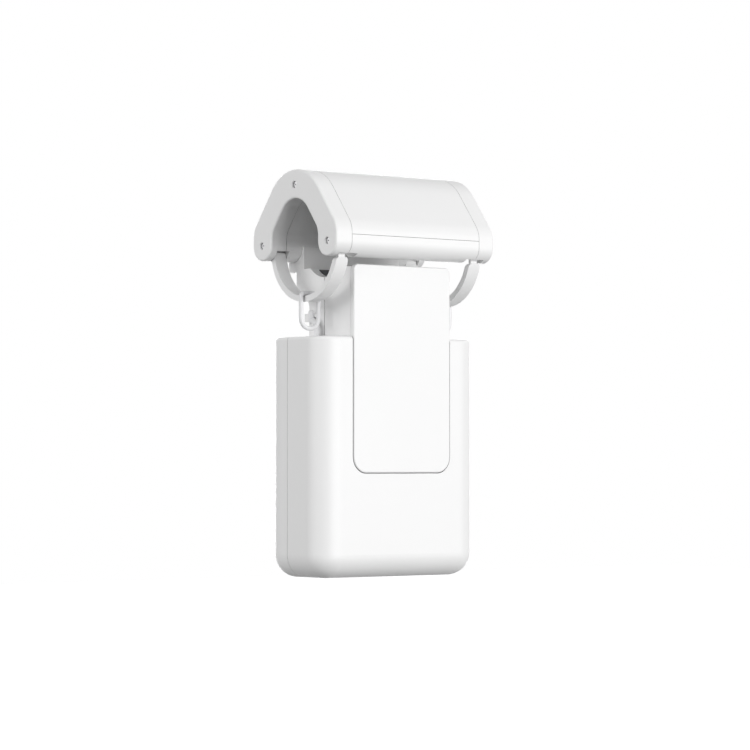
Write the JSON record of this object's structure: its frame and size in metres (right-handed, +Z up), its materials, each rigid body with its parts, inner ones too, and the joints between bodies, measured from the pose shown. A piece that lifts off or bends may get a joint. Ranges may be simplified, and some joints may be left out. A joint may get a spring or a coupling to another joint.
{
  "type": "smart curtain robot",
  "caption": "Battery drive unit that hangs on a round rail: arched bracket with ring arms and links, neck with sprung drive wheels, rounded body with front plate.",
  "frame": {"origin": "middle of the round passage between the guide rollers and the drive wheels", "axes": "+X along the passage to the right, +Y to the rear, +Z up"},
  "size_m": [0.085, 0.057, 0.1696],
  "materials": {
    "white_plastic": "satin white moulding",
    "inner_plastic": "dark grey moulding",
    "grey_plastic": "light grey cap",
    "rubber": "matt rubber",
    "steel": "bright plated",
    "spring_steel": "oiled wire",
    "brass": "machined",
    "cell_wrap": "shrink film",
    "circuit_board": "solder mask",
    "lens": "clear"
  },
  "bodies": {
    "hanger": {"top_cover": "white_plastic", "bracket_frame": "white_plastic", "left_end_cap": "white_plastic", "right_end_cap": "white_plastic", "end_cap_screws": "steel", "roller_axles": "steel", "arm_hinge_pins": "steel", "rear_column": "white_plastic", "column_screws": "steel", "travel_stop": "inner_plastic", "left_spring_rod": "steel", "right_spring_rod": "steel"},
    "left_roller": {"left_guide_roller": "rubber"},
    "right_roller": {"right_guide_roller": "rubber"},
    "left_arm": {"left_ring_arm": "white_plastic"},
    "right_arm": {"right_ring_arm": "white_plastic"},
    "left_link_body": {"left_link": "steel"},
    "right_link_body": {"right_link": "steel"},
    "main_unit": {"front_shell": "white_plastic", "rear_cover": "white_plastic", "front_plate": "white_plastic", "neck_housing": "white_plastic", "saddle_cover": "inner_plastic", "gear_frame": "inner_plastic", "drive_axles": "steel", "motor": "steel", "battery_cell": "cell_wrap", "battery_holder": "inner_plastic", "circuit_board": "circuit_board", "charging_socket": "steel", "charging_board": "circuit_board", "button_switch": "inner_plastic", "status_lens": "lens", "left_clamp_spring": "spring_steel", "right_clamp_spring": "spring_steel", "body_screws": "steel"},
    "left_wheel": {"left_drive_hub": "inner_plastic", "left_drive_tyre": "rubber"},
    "right_wheel": {"right_drive_hub": "inner_plastic", "right_drive_tyre": "rubber"},
    "idler": {"idler_gear": "inner_plastic"},
    "pinion": {"motor_pinion": "brass"},
    "button": {"function_button": "grey_plastic"}
  },
  "joints": [
    {"name": "left_roller_spin", "type": "hinge", "parent": "hanger", "child": "left_roller", "pos_m": [-0.02, 0, 0.0184], "axis": [0, 1, 0], "continuous": true},
    {"name": "right_roller_spin", "type": "hinge", "parent": "hanger", "child": "right_roller", "pos_m": [0.02, 0, 0.0184], "axis": [0, 1, 0], "continuous": true},
    {"name": "left_arm_swing", "type": "hinge", "parent": "hanger", "child": "left_arm", "pos_m": [-0.0358, 0.0203, -0.005], "axis": [1, 0, 0], "range_deg": [0, 35]},
    {"name": "right_arm_swing", "type": "hinge", "parent": "hanger", "child": "right_arm", "pos_m": [0.0358, 0.0203, -0.005], "axis": [1, 0, 0], "range_deg": [0, 35]},
    {"name": "left_link_fold", "type": "hinge", "parent": "left_arm", "child": "left_link_body", "pos_m": [-0.0358, -0.002, -0.0216], "axis": [1, 0, 0], "range_deg": [0, 77]},
    {"name": "right_link_fold", "type": "hinge", "parent": "right_arm", "child": "right_link_body", "pos_m": [0.0358, -0.002, -0.0216], "axis": [1, 0, 0], "range_deg": [0, 77]},
    {"name": "clamp_slide", "type": "slide", "parent": "hanger", "child": "main_unit", "axis": [0, 0, -1], "range_m": [0, 0.026], "stiffness_N_per_m": 200, "springref_m": -0.05},
    {"name": "left_wheel_spin", "type": "hinge", "parent": "main_unit", "child": "left_wheel", "pos_m": [-0.0115, 0, -0.0217], "axis": [0, 1, 0], "continuous": true},
    {"name": "right_wheel_spin", "type": "hinge", "parent": "main_unit", "child": "right_wheel", "pos_m": [0.0115, 0, -0.0217], "axis": [0, 1, 0], "continuous": true},
    {"name": "idler_spin", "type": "hinge", "parent": "main_unit", "child": "idler", "pos_m": [0, -0.0084, -0.03282], "axis": [0, 1, 0], "continuous": true},
    {"name": "pinion_spin", "type": "hinge", "parent": "main_unit", "child": "pinion", "pos_m": [0, -0.0084, -0.04562], "axis": [0, 1, 0], "continuous": true},
    {"name": "button_press", "type": "slide", "parent": "main_unit", "child": "button", "axis": [0, -1, 0], "range_m": [0, 0.0006], "stiffness_N_per_m": 250, "springref_m": -0.002}
  ],
  "couplings": [
    {"joint": "right_wheel_spin", "follows": "left_wheel_spin", "ratio": 1},
    {"joint": "idler_spin", "follows": "left_wheel_spin", "ratio": -1},
    {"joint": "pinion_spin", "follows": "left_wheel_spin", "ratio": 1.6667},
    {"joint": "left_link_fold", "follows": "left_arm_swing", "ratio": 2.2},
    {"joint": "right_link_fold", "follows": "right_arm_swing", "ratio": 2.2}
  ]
}
